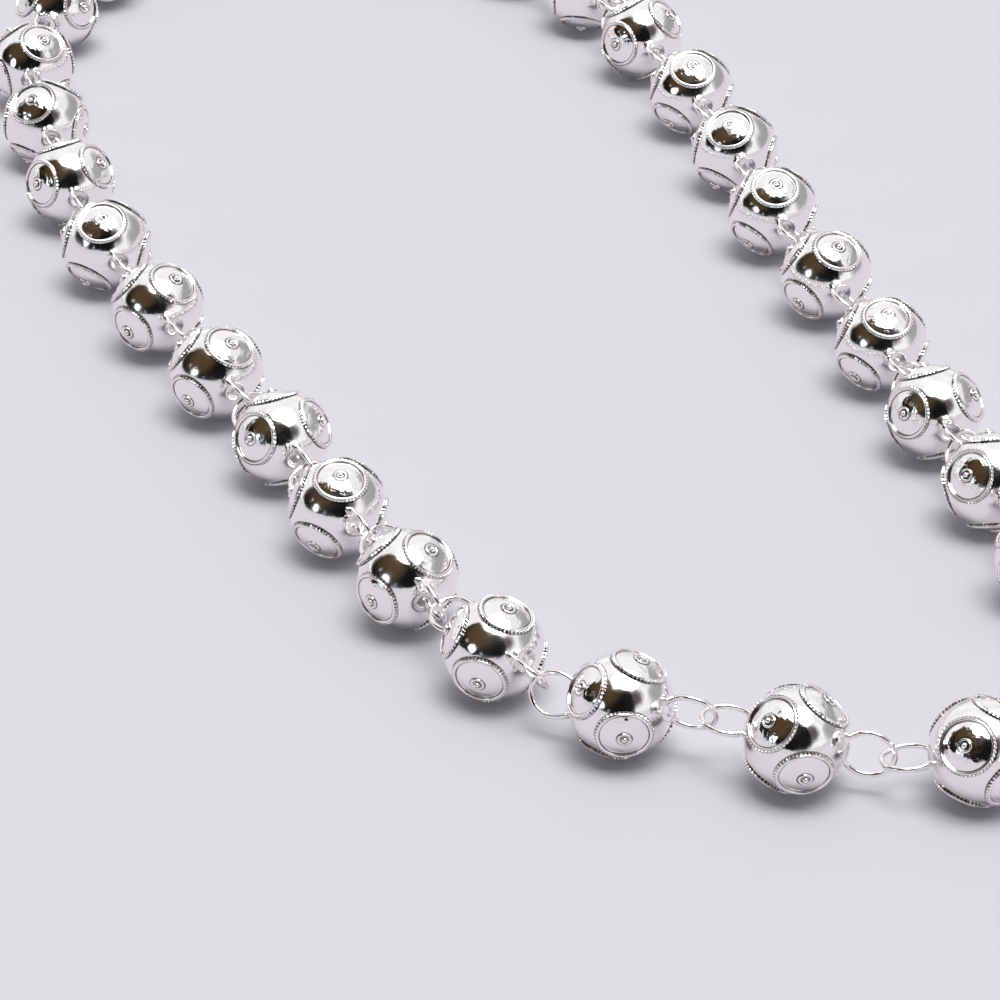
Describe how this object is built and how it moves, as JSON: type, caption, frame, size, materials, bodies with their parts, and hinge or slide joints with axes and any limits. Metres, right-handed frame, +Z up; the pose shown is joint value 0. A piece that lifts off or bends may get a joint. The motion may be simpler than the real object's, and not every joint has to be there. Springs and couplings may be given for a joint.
{
  "type": "beaded necklace",
  "caption": "Silver necklace of round filigree-style beads on wire pins, hooked eye to eye in a closed loop with a plain barrel clasp, lying flat.",
  "frame": {"origin": "middle of the laid loop's box, on the surface that it lies on", "axes": "+Z up from the surface, +Y along the loop's length towards the clasp, +X across it"},
  "size_m": [0.11, 0.1822, 0.0088],
  "materials": {
    "polished_silver": "mirror-polished silver with soldered wire motifs, lightly darkened in the hollows",
    "clasp_silver": "plain polished silver with fine handling marks"
  },
  "bodies": {
    "root": {"bead_01": "polished_silver", "bead_02": "polished_silver", "bead_03": "polished_silver", "bead_04": "polished_silver", "bead_05": "polished_silver", "bead_06": "polished_silver", "bead_07": "polished_silver", "bead_08": "polished_silver", "bead_09": "polished_silver", "bead_10": "polished_silver", "bead_11": "polished_silver", "bead_12": "polished_silver", "bead_13": "polished_silver", "bead_14": "polished_silver", "bead_15": "polished_silver", "bead_16": "polished_silver", "bead_17": "polished_silver", "bead_18": "polished_silver", "bead_19": "polished_silver", "bead_20": "polished_silver", "bead_21": "polished_silver", "bead_22": "polished_silver", "bead_23": "polished_silver", "bead_24": "polished_silver", "bead_25": "polished_silver", "bead_26": "polished_silver", "bead_27": "polished_silver", "bead_28": "polished_silver", "bead_29": "polished_silver", "bead_30": "polished_silver", "clasp": "clasp_silver"}
  },
  "joints": []
}
